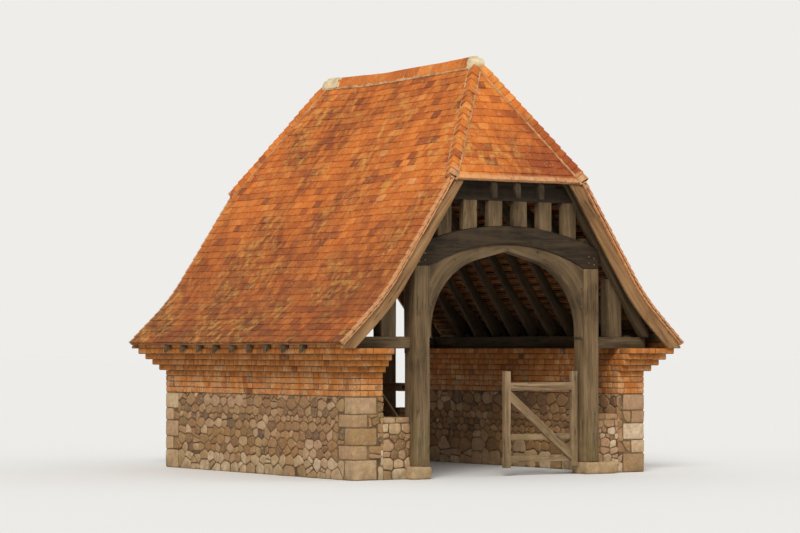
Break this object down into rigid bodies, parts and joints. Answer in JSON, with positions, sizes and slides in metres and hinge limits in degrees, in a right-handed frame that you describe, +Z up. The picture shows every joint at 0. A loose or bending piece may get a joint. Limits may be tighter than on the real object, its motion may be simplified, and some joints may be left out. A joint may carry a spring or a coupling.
{
  "type": "lychgate",
  "caption": "Oak-framed lychgate with an arched passage, stone side walls with corbelled brick tops, a half-hipped flared roof of plain tiles and a pair of braced gates.",
  "frame": {"origin": "on the ground, under the middle of the roof", "axes": "+Z up; -Y towards the road side, where the gates are; the passage runs along Y; +X to the right"},
  "size_m": [5.12, 5.3, 5.2053],
  "materials": {
    "oak": "matte",
    "gate_oak": "matte",
    "iron": "matte",
    "rubble_stone": "matte",
    "brick": "matte",
    "clay_tile": "matte"
  },
  "bodies": {
    "lychgate": {"front_posts": "oak", "rear_posts": "oak", "front_tie_beam": "oak", "rear_tie_beam": "oak", "front_arch_brace_left": "oak", "front_arch_brace_right": "oak", "rear_arch_brace_left": "oak", "rear_arch_brace_right": "oak", "front_aisle_frames": "oak", "rear_aisle_frames": "oak", "principal_rafters": "oak", "collars": "oak", "hip_plates": "oak", "front_gable_studs": "oak", "rear_gable_studs": "oak", "arcade_plates": "oak", "wall_plates": "oak", "common_rafters_left": "oak", "common_rafters_right": "oak", "ridge_board": "oak", "front_hip_rafters": "oak", "rear_hip_rafters": "oak", "front_bargeboards": "oak", "rear_bargeboards": "oak", "gate_pintles": "iron", "side_wall_left": "rubble_stone", "side_wall_right": "rubble_stone", "dwarf_walls": "rubble_stone", "padstones": "rubble_stone", "brick_corbel_left": "brick", "brick_corbel_right": "brick", "roof_slope_left": "clay_tile", "roof_slope_right": "clay_tile", "front_hip_slope": "clay_tile", "rear_hip_slope": "clay_tile", "ridge_tiles": "clay_tile", "hip_tiles": "clay_tile"},
    "left_gate": {"left_gate_stiles": "gate_oak", "left_gate_rails": "gate_oak", "left_gate_brace": "gate_oak", "left_gate_straps": "iron"},
    "right_gate": {"right_gate_stiles": "gate_oak", "right_gate_rails": "gate_oak", "right_gate_brace": "gate_oak", "right_gate_straps": "iron"}
  },
  "joints": [
    {"name": "left_gate_hinge", "type": "hinge", "parent": "lychgate", "child": "left_gate", "pos_m": [-1.138, -2.26, 0], "axis": [0, 0, 1], "range_deg": [-90, 0]},
    {"name": "right_gate_hinge", "type": "hinge", "parent": "lychgate", "child": "right_gate", "pos_m": [1.138, -2.26, 0], "axis": [0, 0, 1], "range_deg": [-90, 0]}
  ]
}
